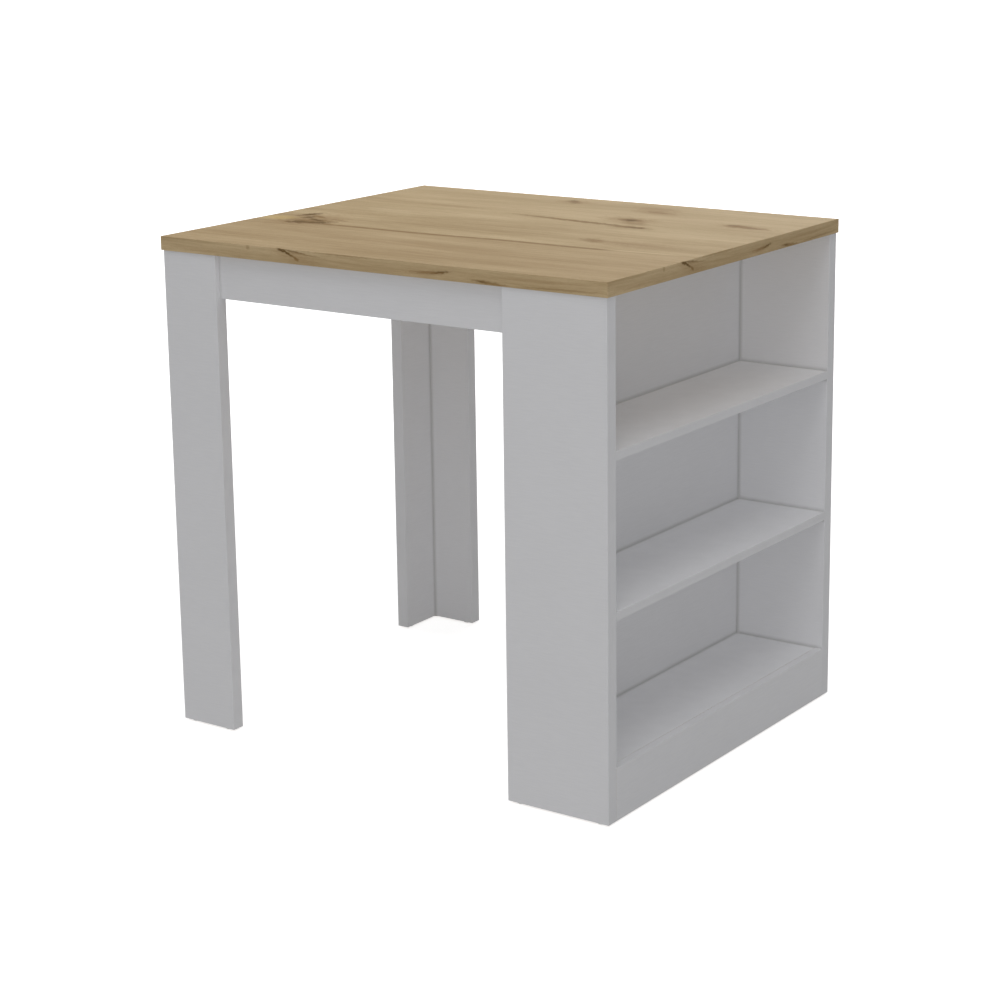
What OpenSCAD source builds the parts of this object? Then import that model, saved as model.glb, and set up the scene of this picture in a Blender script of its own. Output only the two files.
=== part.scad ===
// Kitchen island in flat-pack board construction.
// A tabletop stands on two L-shaped legs at one end and on an open shelf unit at the other.
// The origin is on the floor under the middle of the tabletop, +Z is up,
// the front looks towards -Y and the shelves open towards +X.

/* [Tabletop] */
// Length of the tabletop along X
top_l = 935; // [800:5:1200]
// Depth of the tabletop along Y
top_d = 775; // [650:5:1000]
// Thickness of the tabletop
top_t = 25; // [20:1:32]
// How far the tabletop stands out past the boards below it
overhang = 3; // [2:0.5:10]

/* [Legs and side panels] */
// Height of the leg boards and the side panels
upright_h = 875; // [700:5:1050]
// Thickness of the leg boards and the side panels
upright_t = 25; // [20:1:28]
// Width of a leg, measured over both of its boards
leg_w = 120; // [100:5:160]

/* [Aprons] */
// Height of the aprons
apron_h = 78; // [65:1:110]
// Thickness of the aprons
apron_t = 15; // [15:1:18]

/* [Shelf unit] */
// Width of the shelf unit along X
unit_w = 200; // [180:5:280]
// Thickness of the three shelves
shelf_t = 15; // [15:1:19]
// Thickness of the back panel
back_t = 15; // [15:1:19]
// How far the back panel stands in from the side panels' rear edges
back_inset = 2; // [0:0.5:5]
// Height of the plinth, up to the top of the bottom shelf
plinth_h = 92; // [85:1:130]
// Thickness of the plinth
plinth_t = 15; // [15:1:19]

/* [Edge bands] */
// Thickness of the edge bands
band_t = 1; // [0.6:0.1:2]
// Radius on the outer corners of the edge bands
band_r = 0.6; // [0.3:0.1:1]

/* [Dowels] */
// Diameter of the wooden dowels
dowel_d = 8; // [6:0.5:8]
// Length of the wooden dowels
dowel_l = 30; // [26:1:35]
// How deep a dowel stands in the face of a board
dowel_in_face = 12; // [8:1:14]

/* [Cam locks] */
// Diameter of the cams
cam_d = 15; // [12:0.5:15]
// Distance from a joint to the cam's centre
cam_reach = 24; // [22:1:30]
// How far a cam reaches past the middle of its board
cam_past_mid = 5; // [4.5:0.1:5.5]
// Diameter of a cam bolt's shank
bolt_d = 6; // [5:0.25:7]
// Diameter of a cam bolt's thread
bolt_thread_d = 5; // [4:0.25:6]
// Length of a cam bolt's thread
bolt_thread_l = 11; // [8:0.5:12]
// Diameter of the cover caps on the cams
cam_cap_d = 17; // [16:0.5:19]
// Distance from a long edge to the first fixing of a joint
fixing_edge = 37; // [32:1:42]
// Distance from a cam to the dowel beside it
fixing_pitch = 32; // [24:1:34]

/* [Confirmat screws] */
// Length of the screws in the rear leg
leg_screw_l = 70; // [60:1:80]
// Length of the screws between the back panel and the shelves
shelf_screw_l = 50; // [40:1:60]
// Diameter of a screw's shank
screw_d = 6.4; // [5:0.2:7]
// Diameter of a screw's head
screw_head_d = 10; // [9:0.5:11]
// Diameter of the cover caps on the screws
screw_cap_d = 13; // [12:0.5:16]

/* [Angle brackets] */
// Length of each arm of a bracket
bracket_arm = 25; // [20:1:32]
// Width of a bracket
bracket_w = 16; // [12:1:24]
// Thickness of a bracket
bracket_t = 2; // [1.5:0.1:2.5]
// Length of a bracket screw in the wood
bracket_screw_l = 12; // [9:0.5:13]
// Diameter of a bracket screw's shank
bracket_screw_d = 3.5; // [3:0.25:4]

/* [Glides] */
// Height of the glides under the boards
glide_h = 3; // [2:0.5:6]
// Diameter of the glides
glide_d = 18; // [14:1:20]
// Length of a glide's nail
glide_nail_l = 14; // [10:1:20]

/* [Clearances] */
// Clearance around each dowel, bolt, cam and screw in its hole
fit = 0.1; // [0.05:0.05:0.2]
// Clearance at the blind end of each hole
end_gap = 0.4; // [0.2:0.1:0.8]

/* [Hidden] */
$fn = 48;

// Colours as the object shows them
oak = [0.69, 0.59, 0.46];
oak_edge = [0.60, 0.51, 0.40];
white = [0.88, 0.88, 0.89];
white_edge = [0.84, 0.84, 0.85];
beech = [0.80, 0.68, 0.50];
zinc = [0.70, 0.71, 0.73];
steel = [0.62, 0.63, 0.65];
cap_white = [0.92, 0.92, 0.92];
glide_grey = [0.85, 0.85, 0.84];

// Outer lines of the tabletop and of the boards below it
top_x = top_l / 2;
top_y = top_d / 2;
left_x = overhang - top_x;
right_x = top_x - overhang;
front_y = overhang - top_y;
rear_y = top_y - overhang;
base_z = glide_h;
under_top_z = base_z + upright_h;

// Legs
leg_in_x = left_x + leg_w;
leg_front_in_y = front_y + leg_w;
leg_rear_in_y = rear_y - leg_w;

// Inner faces of the front boards and of the rear boards
inner_front_y = front_y + upright_t;
inner_rear_y = rear_y - upright_t;
inner_left_x = left_x + upright_t;

// Shelf unit
unit_x = right_x - unit_w;
back_x = unit_x + back_inset;
shelf_x = back_x + back_t;
plinth_x = right_x - plinth_t;
unit_inner_d = inner_rear_y - inner_front_y;
shelf_clear = (upright_h - plinth_h - 2 * shelf_t) / 3;
bottom_shelf_z = base_z + plinth_h;
middle_shelf_z = bottom_shelf_z + shelf_clear + shelf_t;
upper_shelf_z = middle_shelf_z + shelf_clear + shelf_t;

// Aprons
apron_z = under_top_z - apron_h;
apron_cam_down = 26;
apron_dowel_up = 21;
apron_cam_z = under_top_z - apron_cam_down;
apron_dowel_z = apron_z + apron_dowel_up;

// Heights of the fixings in the legs, all below the aprons
leg_fixing_up = 120;
leg_fixing_down = 60;
leg_low_z = base_z + leg_fixing_up;
leg_high_z = apron_z - leg_fixing_down;
leg_fixings_z = [leg_low_z, (leg_low_z + leg_high_z) / 2, leg_high_z];
leg_dowels_z = [leg_low_z + fixing_pitch, leg_high_z - fixing_pitch];

// Heights of the fixings at the back panel's ends
back_cams_z = [
  base_z + plinth_h / 2,
  middle_shelf_z + shelf_clear / 2,
  apron_z - fixing_edge
];
back_dowels_z = [bottom_shelf_z + shelf_clear / 2, upper_shelf_z + fixing_edge];

// Plinth fixings lie below the bottom shelf
plinth_cam_up = 25;
plinth_dowel_down = 22;
plinth_cam_z = base_z + plinth_cam_up;
plinth_dowel_z = bottom_shelf_z - shelf_t - plinth_dowel_down;

// Cam geometry: the cam's face lies a little below the board's face
cam_sink = 0.3;
cam_pocket_gap = 0.5;
cam_pocket_d = bolt_d + 2 * cam_pocket_gap;
cam_slot_w = 2;
cam_slot_l = 8;
cam_slot_depth = 1.4;
bolt_head_l = 3;
bolt_neck_l = 4;
bolt_neck_share = 0.6;
bolt_neck_d = bolt_d * bolt_neck_share;
bolt_flange_rim = 0.7;
bolt_flange_d = max(bolt_d, bolt_thread_d) + 2 * bolt_flange_rim;
bolt_flange_t = 1;
cap_t = 0.8;
cap_peg_d = 1.6;
cap_peg_l = 1.2;

// Screw geometry
tip_share = 0.3;
screw_head_t = 1.2;
screw_cone_l = 2.6;
screw_tip_l = 4;
socket_d = 4.6;
socket_depth = 2.2;
screw_cap_peg_d = 3.4;
screw_cap_peg_l = 1.8;
bracket_screw_head_rim = 1.5;
bracket_screw_head_t = 1.6;
bracket_screw_dome = 0.9;
bracket_screw_tip_l = 2.5;
recess_l = 3;
recess_w = 0.8;
recess_depth = 1.1;
bracket_hole_end = 10;
bracket_hole_at = bracket_arm - bracket_hole_end;
bracket_hole_gap = 0.2;

// Glide geometry
glide_nail_d = 2.4;
glide_nail_tip_l = 2.4;
glide_inset = 20;
glide_edge_r = 1;

// Arcs of a quarter turn in a profile have this many chords
arc_steps = 3;

// A band's corner radius is never more than this share of the band
band_round_share = 0.8;

// How far a cutter runs past the surface that it opens
over = 1;

// Frames of the apron ends: place in X and Y, then the turn that points X into the apron
// and Z at the face that holds the cams. The order is front, rear and left apron.
front_apron_y = inner_front_y - apron_t / 2;
rear_apron_y = inner_rear_y + apron_t / 2;
left_apron_x = inner_left_x - apron_t / 2;
APRON_ENDS = [
  [[leg_in_x, front_apron_y], [-90, 0, 0]],
  [[unit_x, front_apron_y], [90, 0, 180]],
  [[leg_in_x, rear_apron_y], [90, 0, 0]],
  [[unit_x, rear_apron_y], [-90, 0, 180]],
  [[left_apron_x, leg_front_in_y], [90, 0, 90]],
  [[left_apron_x, leg_rear_in_y], [-90, 0, -90]]
];

// Places of the vertical dowels between the uprights and the tabletop
leg_dowel_in = 30;
panel_dowel_in = 50;
TOP_DOWELS = [
  [left_x + leg_dowel_in, front_y + upright_t / 2],
  [leg_in_x - leg_dowel_in, front_y + upright_t / 2],
  [left_x + upright_t / 2, leg_front_in_y - leg_dowel_in],
  [left_x + leg_dowel_in, rear_y - upright_t / 2],
  [leg_in_x - leg_dowel_in, rear_y - upright_t / 2],
  [left_x + upright_t / 2, leg_rear_in_y + leg_dowel_in],
  [unit_x + panel_dowel_in, front_y + upright_t / 2],
  [right_x - panel_dowel_in, front_y + upright_t / 2],
  [unit_x + panel_dowel_in, rear_y - upright_t / 2],
  [right_x - panel_dowel_in, rear_y - upright_t / 2]
];

// Places of the glides under the boards
GLIDES = [
  [left_x + glide_inset, front_y + upright_t / 2],
  [leg_in_x - glide_inset, front_y + upright_t / 2],
  [left_x + upright_t / 2, leg_front_in_y - glide_inset],
  [left_x + glide_inset, rear_y - upright_t / 2],
  [leg_in_x - glide_inset, rear_y - upright_t / 2],
  [left_x + upright_t / 2, leg_rear_in_y + glide_inset],
  [unit_x + glide_inset, front_y + upright_t / 2],
  [right_x - glide_inset, front_y + upright_t / 2],
  [unit_x + glide_inset, rear_y - upright_t / 2],
  [right_x - glide_inset, rear_y - upright_t / 2]
];

// Corner lines of the brackets under the tabletop: place in X and Y, then the turn
// that points the upper arm away from the board.
bracket_in = 140;
panel_fixing_in = 175;
panel_fixings_y = [inner_front_y + panel_fixing_in, inner_rear_y - panel_fixing_in];
TOP_BRACKETS = [
  [[leg_in_x + bracket_in, inner_front_y], 90],
  [[unit_x - bracket_in, inner_front_y], 90],
  [[leg_in_x + bracket_in, inner_rear_y], -90],
  [[unit_x - bracket_in, inner_rear_y], -90],
  [[inner_left_x, (leg_front_in_y + leg_rear_in_y) / 2], 0],
  [[back_x, panel_fixings_y[0]], 180],
  [[back_x, panel_fixings_y[1]], 180]
];
PLINTH_BRACKETS = [
  [[plinth_x, panel_fixings_y[0]], 180],
  [[plinth_x, panel_fixings_y[1]], 180]
];

function cam_depth(t) = t / 2 + cam_past_mid;

// Points of an arc of a quarter turn about [x, y], starting at the angle a
function quarter(x, y, r, a) = [
  for (i = [0:arc_steps])
    let (b = a + 90 * i / arc_steps)
      [x + r * cos(b), y + r * sin(b)]
];

// Board or block between two opposite corners
module board(a, b) {
  translate(a) cube(b - a);
}

// Strip along X, its inner face on z = 0 and its outer corners rounded
module strip(l, w) {
  r = min(band_r, band_t * band_round_share);
  rotate([90, 0, 90])
    linear_extrude(height = l)
      polygon(concat([[0, 0], [w, 0]], quarter(w - r, band_t - r, r, 0), quarter(r, band_t - r, r, 90)));
}

// Upright strips on board edges that face +X, -X, +Y and -Y, standing on the point p
module strip_right(p, w, h) {
  translate(p) rotate([0, -90, 0]) mirror([0, 0, 1]) strip(h, w);
}
module strip_left(p, w, h) {
  translate(p) rotate([0, -90, 0]) strip(h, w);
}
module strip_rear(p, w, h) {
  translate(p) rotate([0, 0, 90]) mirror([0, 1, 0]) strip_right([0, 0, 0], w, h);
}
module strip_front(p, w, h) {
  translate(p) rotate([0, 0, -90]) strip_right([0, 0, 0], w, h);
}

// Joint frames. In each frame X points into the board that holds the cam or dowel end,
// the joint is the plane x = 0 and Z points at the face that the cam is drilled from.
module at_apron_ends(ends, z) {
  for (e = ends)
    translate([APRON_ENDS[e][0][0], APRON_ENDS[e][0][1], z])
      rotate(APRON_ENDS[e][1])
        children();
}
module at_front_leg(heights) {
  for (z = heights)
    translate([left_x + upright_t / 2, inner_front_y, z])
      rotate([90, 0, 90])
        children();
}
module at_rear_leg(heights) {
  for (z = heights)
    translate([left_x + upright_t / 2, inner_rear_y, z])
      rotate([0, 0, -90])
        children();
}
module at_back_ends(heights) {
  for (z = heights) {
    translate([back_x + back_t / 2, inner_front_y, z]) rotate([-90, 0, 90]) children();
    translate([back_x + back_t / 2, inner_rear_y, z]) rotate([90, 0, -90]) children();
  }
}
module at_plinth_ends(z) {
  translate([plinth_x + plinth_t / 2, inner_front_y, z]) rotate([-90, 0, 90]) children();
  translate([plinth_x + plinth_t / 2, inner_rear_y, z]) rotate([90, 0, -90]) children();
}

// Places along a shelf's end, counted from its rear edge and from its front edge
module at_shelf_ends(z, front_x, distance) {
  for (x = [shelf_x + distance, front_x - distance]) {
    translate([x, inner_front_y, z - shelf_t / 2]) rotate([180, 0, 90]) children();
    translate([x, inner_rear_y, z - shelf_t / 2]) rotate([180, 0, -90]) children();
  }
}
module at_upper_shelf_cams() {
  at_shelf_ends(upper_shelf_z, right_x, fixing_edge) children();
}
module at_upper_shelf_dowels() {
  at_shelf_ends(upper_shelf_z, right_x, fixing_edge + shelf_dowel_step(right_x)) children();
}
module at_middle_shelf_cams() {
  at_shelf_ends(middle_shelf_z, right_x, fixing_edge) children();
}
module at_middle_shelf_dowels() {
  at_shelf_ends(middle_shelf_z, right_x, fixing_edge + shelf_dowel_step(right_x)) children();
}
module at_bottom_shelf_cams() {
  at_shelf_ends(bottom_shelf_z, plinth_x, fixing_edge) children();
}
module at_bottom_shelf_dowels() {
  at_shelf_ends(bottom_shelf_z, plinth_x, fixing_edge + shelf_dowel_step(plinth_x)) children();
}
module at_shelf_screws(z) {
  for (y = panel_fixings_y)
    translate([shelf_x, y, z - shelf_t / 2])
      children();
}

// The dowels of a shelf stand one pitch from the cams, or a third of the way across a
// shelf that is too narrow for that
function shelf_dowel_step(front_x) = min(fixing_pitch, (front_x - shelf_x - 2 * fixing_edge) / 3);

module at_top_dowels(places) {
  for (i = places)
    translate([TOP_DOWELS[i][0], TOP_DOWELS[i][1], under_top_z])
      rotate([0, 90, 0])
        children();
}
module at_brackets(list, z, which) {
  for (i = which)
    translate([list[i][0][0], list[i][0][1], z])
      rotate([0, 0, list[i][1]])
        children();
}
module at_top_brackets(which) {
  at_brackets(TOP_BRACKETS, under_top_z, which) children();
}
module at_plinth_brackets() {
  at_brackets(PLINTH_BRACKETS, bottom_shelf_z - shelf_t, [0, 1]) children();
}
module at_glides(places) {
  for (i = places)
    translate([GLIDES[i][0], GLIDES[i][1], 0])
      children();
}

// Rods and holes along X, from x = a to x = b
module rod(d, a, b) {
  translate([a, 0, 0]) rotate([0, 90, 0]) cylinder(d = d, h = b - a);
}

// Holes of a cam joint: pocket and bore in the cam's board, thread hole in the other board
module cam_hole(t) {
  translate([cam_reach, 0, t / 2 - cam_depth(t)])
    cylinder(d = cam_d + 2 * fit, h = cam_depth(t) + over);
  rod(bolt_flange_d + 2 * fit, -over, cam_reach);
}
module bolt_hole() {
  rod(bolt_thread_d + 2 * fit, -bolt_thread_l - end_gap, over);
}
module dowel_hole() {
  rod(dowel_d + 2 * fit, -dowel_in_face - end_gap, dowel_l - dowel_in_face + end_gap);
}

// Holes of a confirmat screw through a board of thickness t
module screw_shape(t, l, grow) {
  r = screw_d / 2 + grow;
  head_r = screw_head_d / 2 + grow;
  neck = -t + screw_head_t + screw_cone_l;
  tip = l - t;
  rotate([0, 90, 0])
    rotate_extrude()
      polygon([
        [0, -t], [head_r, -t], [head_r, -t + screw_head_t + grow], [r, neck + grow],
        [r, tip - screw_tip_l], [r * tip_share, tip + grow], [0, tip + grow]
      ]);
}
module screw_hole(t, l) {
  screw_shape(t, l, fit);
  rod(screw_head_d + 2 * fit, -t - over, -t + screw_head_t);
}

// Holes of a bracket's two screws, one up into the top and one into the board
module bracket_holes() {
  hole_l = bracket_screw_l + end_gap;
  d = bracket_screw_d + 2 * fit;
  translate([bracket_hole_at, 0, -over]) cylinder(d = d, h = hole_l + over);
  translate([0, 0, -bracket_hole_at]) rod(d, -hole_l, over);
}
module glide_hole() {
  cylinder(d = glide_nail_d + 2 * fit, h = glide_h + glide_nail_l + end_gap);
}

// Cam: a drum with a side pocket for the bolt's head and a cross slot in its face
module cam(t) {
  depth = cam_depth(t);
  face = t / 2 - cam_sink;
  translate([cam_reach, 0, 0])
    difference() {
      translate([0, 0, t / 2 - depth + fit]) cylinder(d = cam_d, h = depth - cam_sink - fit);
      rod(cam_pocket_d, -cam_d, cam_pocket_d / 2);
      for (turn = [0, 90])
        translate([0, 0, face - cam_slot_depth])
          rotate([0, 0, turn])
            translate([-cam_slot_l / 2, -cam_slot_w / 2, 0])
              cube([cam_slot_l, cam_slot_w, cam_slot_depth + over]);
    }
}

// Cam bolt: thread in the other board, flange at the joint, shank, neck and head in the cam
module cam_bolt() {
  head_x = cam_reach + bolt_head_l / 2;
  neck_x = head_x - bolt_head_l;
  shank_x = neck_x - bolt_neck_l;
  rotate([0, 90, 0])
    rotate_extrude()
      polygon([
        [0, -bolt_thread_l], [bolt_thread_d / 2, -bolt_thread_l], [bolt_thread_d / 2, 0],
        [bolt_flange_d / 2, 0], [bolt_flange_d / 2, bolt_flange_t], [bolt_d / 2, bolt_flange_t],
        [bolt_d / 2, shank_x], [bolt_neck_d / 2, shank_x], [bolt_neck_d / 2, neck_x],
        [bolt_d / 2, neck_x], [bolt_d / 2, head_x], [0, head_x]
      ]);
}

// Cap on a cam: a thin disc on the board's face with a peg in the cam's slot
module cam_cap(t) {
  translate([cam_reach, 0, t / 2]) {
    cylinder(d1 = cam_cap_d, d2 = cam_cap_d - cap_t, h = cap_t);
    translate([0, 0, -cap_peg_l]) cylinder(d = cap_peg_d, h = cap_peg_l + cap_t / 2);
  }
}
module dowel() {
  rod(dowel_d, -dowel_in_face, dowel_l - dowel_in_face);
}
module confirmat(t, l) {
  difference() {
    screw_shape(t, l, 0);
    translate([-t, 0, 0]) rotate([0, 90, 0]) cylinder(d = socket_d, h = socket_depth, $fn = 6);
  }
}
module confirmat_cap(t) {
  translate([-t, 0, 0])
    rotate([0, -90, 0]) {
      cylinder(d1 = screw_cap_d, d2 = screw_cap_d - cap_t, h = cap_t);
      translate([0, 0, -screw_cap_peg_l]) cylinder(d = screw_cap_peg_d, h = screw_cap_peg_l + cap_t / 2);
    }
}

// Bracket: one arm under the top, one on the board, with a hole in each
module bracket() {
  hole_d = bracket_screw_d + 2 * bracket_hole_gap;
  difference() {
    union() {
      board([0, -bracket_w / 2, -bracket_t], [bracket_arm, bracket_w / 2, 0]);
      board([0, -bracket_w / 2, -bracket_arm], [bracket_t, bracket_w / 2, 0]);
    }
    translate([bracket_hole_at, 0, -bracket_t - over]) cylinder(d = hole_d, h = bracket_t + 2 * over);
    translate([0, 0, -bracket_hole_at]) rod(hole_d, -over, bracket_t + over);
  }
}

// Screw along X that goes from its head at x > 0 into the wood at x < 0
module wood_screw() {
  r = bracket_screw_d / 2;
  head_r = r + bracket_screw_head_rim;
  head_x = bracket_t + bracket_screw_head_t;
  difference() {
    rotate([0, 90, 0])
      rotate_extrude()
        polygon([
          [0, -bracket_screw_l], [r * tip_share, -bracket_screw_l],
          [r, bracket_screw_tip_l - bracket_screw_l], [r, bracket_t],
          [head_r, bracket_t], [head_r - bracket_screw_dome, head_x], [0, head_x]
        ]);
    for (turn = [0, 90])
      rotate([turn, 0, 0])
        board([head_x - recess_depth, -recess_l / 2, -recess_w / 2],
              [head_x + over, recess_l / 2, recess_w / 2]);
  }
}
module bracket_screw_pair() {
  translate([bracket_hole_at, 0, 0]) rotate([0, 90, 0]) wood_screw();
  translate([0, 0, -bracket_hole_at]) wood_screw();
}

// Glide: a low disc with a rounded rim and a nail that stands in the board
module glide() {
  r = glide_d / 2;
  nail_r = glide_nail_d / 2;
  nail_top = glide_h + glide_nail_l;
  rotate_extrude()
    polygon(concat(
      [[0, 0]], quarter(r - glide_edge_r, glide_edge_r, glide_edge_r, -90),
      [[r, glide_h], [nail_r, glide_h], [nail_r, nail_top - glide_nail_tip_l], [0, nail_top]]
    ));
}

// Tabletop
module tabletop() {
  color(oak)
    difference() {
      board([band_t - top_x, band_t - top_y, under_top_z],
            [top_x - band_t, top_y - band_t, under_top_z + top_t]);
      at_top_dowels([0:9]) dowel_hole();
      at_top_brackets([0:6]) bracket_holes();
    }
}
module tabletop_edge_bands() {
  end_y = top_y - band_t - fit;
  color(oak_edge) {
    translate([-top_x, band_t - top_y, under_top_z]) rotate([90, 0, 0]) strip(top_l, top_t);
    translate([top_x, top_y - band_t, under_top_z]) rotate([90, 0, 180]) strip(top_l, top_t);
    translate([top_x - band_t, -end_y, under_top_z]) rotate([90, 0, 90]) strip(2 * end_y, top_t);
    translate([band_t - top_x, end_y, under_top_z]) rotate([90, 0, -90]) strip(2 * end_y, top_t);
  }
}

// Legs
module front_leg_face_board() {
  color(white)
    difference() {
      board([left_x + band_t, front_y, base_z], [leg_in_x - band_t, inner_front_y, under_top_z]);
      at_front_leg(leg_fixings_z) bolt_hole();
      at_front_leg(leg_dowels_z) dowel_hole();
      at_apron_ends([0], apron_cam_z) bolt_hole();
      at_apron_ends([0], apron_dowel_z) dowel_hole();
      at_top_dowels([0, 1]) dowel_hole();
      at_glides([0, 1]) glide_hole();
    }
}
module front_leg_side_board() {
  color(white)
    difference() {
      board([left_x, inner_front_y, base_z], [inner_left_x, leg_front_in_y - band_t, under_top_z]);
      at_front_leg(leg_fixings_z) cam_hole(upright_t);
      at_front_leg(leg_dowels_z) dowel_hole();
      at_apron_ends([4], apron_cam_z) bolt_hole();
      at_apron_ends([4], apron_dowel_z) dowel_hole();
      at_top_dowels([2]) dowel_hole();
      at_glides([2]) glide_hole();
    }
}
module rear_leg_back_board() {
  color(white)
    difference() {
      board([left_x + band_t, inner_rear_y, base_z], [leg_in_x - band_t, rear_y, under_top_z]);
      at_rear_leg(leg_fixings_z) screw_hole(upright_t, leg_screw_l);
      at_rear_leg(leg_dowels_z) dowel_hole();
      at_apron_ends([2], apron_cam_z) bolt_hole();
      at_apron_ends([2], apron_dowel_z) dowel_hole();
      at_top_dowels([3, 4]) dowel_hole();
      at_glides([3, 4]) glide_hole();
    }
}
module rear_leg_side_board() {
  color(white)
    difference() {
      board([left_x, leg_rear_in_y + band_t, base_z], [inner_left_x, inner_rear_y, under_top_z]);
      at_rear_leg(leg_fixings_z) screw_hole(upright_t, leg_screw_l);
      at_rear_leg(leg_dowels_z) dowel_hole();
      at_apron_ends([5], apron_cam_z) bolt_hole();
      at_apron_ends([5], apron_dowel_z) dowel_hole();
      at_top_dowels([5]) dowel_hole();
      at_glides([5]) glide_hole();
    }
}
module leg_edge_bands() {
  color(white_edge)
    difference() {
      union() {
        for (y = [front_y, inner_rear_y]) {
          strip_left([left_x + band_t, y, base_z], upright_t, upright_h);
          strip_right([leg_in_x - band_t, y, base_z], upright_t, upright_h);
        }
        strip_rear([left_x, leg_front_in_y - band_t, base_z], upright_t, upright_h);
        strip_front([left_x, leg_rear_in_y + band_t, base_z], upright_t, upright_h);
      }
      at_apron_ends([0, 2, 4, 5], apron_cam_z) bolt_hole();
      at_apron_ends([0, 2, 4, 5], apron_dowel_z) dowel_hole();
    }
}

// Aprons
module apron_holes(ends, brackets) {
  at_apron_ends(ends, apron_cam_z) cam_hole(apron_t);
  at_apron_ends(ends, apron_dowel_z) dowel_hole();
  at_top_brackets(brackets) bracket_holes();
}
module front_apron() {
  color(white)
    difference() {
      board([leg_in_x, inner_front_y - apron_t, apron_z + band_t], [unit_x, inner_front_y, under_top_z]);
      apron_holes([0, 1], [0, 1]);
    }
}
module rear_apron() {
  color(white)
    difference() {
      board([leg_in_x, inner_rear_y, apron_z + band_t], [unit_x, inner_rear_y + apron_t, under_top_z]);
      apron_holes([2, 3], [2, 3]);
    }
}
module left_apron() {
  color(white)
    difference() {
      board([inner_left_x - apron_t, leg_front_in_y, apron_z + band_t],
            [inner_left_x, leg_rear_in_y, under_top_z]);
      apron_holes([4, 5], [4]);
    }
}
module apron_edge_bands() {
  color(white_edge) {
    for (y = [inner_front_y, inner_rear_y + apron_t])
      translate([leg_in_x, y, apron_z + band_t])
        rotate([180, 0, 0])
          strip(unit_x - leg_in_x, apron_t);
    translate([inner_left_x - apron_t, leg_front_in_y, apron_z + band_t])
      rotate([180, 0, 90])
        strip(leg_rear_in_y - leg_front_in_y, apron_t);
  }
}

// Shelf unit
module side_panel_holes(end, top_places, glide_places) {
  at_apron_ends([end], apron_cam_z) bolt_hole();
  at_apron_ends([end], apron_dowel_z) dowel_hole();
  at_back_ends(back_cams_z) bolt_hole();
  at_back_ends(back_dowels_z) dowel_hole();
  at_plinth_ends(plinth_cam_z) bolt_hole();
  at_plinth_ends(plinth_dowel_z) dowel_hole();
  at_upper_shelf_cams() bolt_hole();
  at_upper_shelf_dowels() dowel_hole();
  at_middle_shelf_cams() bolt_hole();
  at_middle_shelf_dowels() dowel_hole();
  at_bottom_shelf_cams() bolt_hole();
  at_bottom_shelf_dowels() dowel_hole();
  at_top_dowels(top_places) dowel_hole();
  at_glides(glide_places) glide_hole();
}
module front_side_panel() {
  color(white)
    difference() {
      board([unit_x + band_t, front_y, base_z], [right_x - band_t, inner_front_y, under_top_z]);
      side_panel_holes(1, [6, 7], [6, 7]);
    }
}
module rear_side_panel() {
  color(white)
    difference() {
      board([unit_x + band_t, inner_rear_y, base_z], [right_x - band_t, rear_y, under_top_z]);
      side_panel_holes(3, [8, 9], [8, 9]);
    }
}
module side_panel_edge_bands() {
  color(white_edge)
    difference() {
      for (y = [front_y, inner_rear_y]) {
        strip_left([unit_x + band_t, y, base_z], upright_t, upright_h);
        strip_right([right_x - band_t, y, base_z], upright_t, upright_h);
      }
      at_apron_ends([1, 3], apron_cam_z) bolt_hole();
      at_apron_ends([1, 3], apron_dowel_z) dowel_hole();
    }
}
module back_panel() {
  color(white)
    difference() {
      board([back_x, inner_front_y, base_z], [shelf_x, inner_rear_y, under_top_z]);
      at_back_ends(back_cams_z) cam_hole(back_t);
      at_back_ends(back_dowels_z) dowel_hole();
      for (z = [upper_shelf_z, middle_shelf_z, bottom_shelf_z])
        at_shelf_screws(z) screw_hole(back_t, shelf_screw_l);
      at_top_brackets([5, 6]) bracket_holes();
    }
}
module shelf_board(z, front_x) {
  board([shelf_x, inner_front_y, z - shelf_t], [front_x, inner_rear_y, z]);
}
module upper_shelf() {
  color(white)
    difference() {
      shelf_board(upper_shelf_z, right_x - band_t);
      at_upper_shelf_cams() cam_hole(shelf_t);
      at_upper_shelf_dowels() dowel_hole();
      at_shelf_screws(upper_shelf_z) screw_hole(back_t, shelf_screw_l);
    }
}
module middle_shelf() {
  color(white)
    difference() {
      shelf_board(middle_shelf_z, right_x - band_t);
      at_middle_shelf_cams() cam_hole(shelf_t);
      at_middle_shelf_dowels() dowel_hole();
      at_shelf_screws(middle_shelf_z) screw_hole(back_t, shelf_screw_l);
    }
}
module bottom_shelf() {
  color(white)
    difference() {
      shelf_board(bottom_shelf_z, plinth_x);
      at_bottom_shelf_cams() cam_hole(shelf_t);
      at_bottom_shelf_dowels() dowel_hole();
      at_shelf_screws(bottom_shelf_z) screw_hole(back_t, shelf_screw_l);
      at_plinth_brackets() bracket_holes();
    }
}
module shelf_edge_bands() {
  color(white_edge)
    for (z = [upper_shelf_z, middle_shelf_z])
      translate([right_x - band_t, inner_front_y, z - shelf_t])
        rotate([90, 0, 90])
          strip(unit_inner_d, shelf_t);
}
module plinth() {
  color(white)
    difference() {
      board([plinth_x, inner_front_y, base_z], [right_x, inner_rear_y, bottom_shelf_z - band_t]);
      at_plinth_ends(plinth_cam_z) cam_hole(plinth_t);
      at_plinth_ends(plinth_dowel_z) dowel_hole();
      at_plinth_brackets() bracket_holes();
    }
}
module plinth_edge_band() {
  color(white_edge)
    translate([right_x, inner_front_y, bottom_shelf_z - band_t])
      rotate([0, 0, 90])
        strip(unit_inner_d, plinth_t);
}

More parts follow.
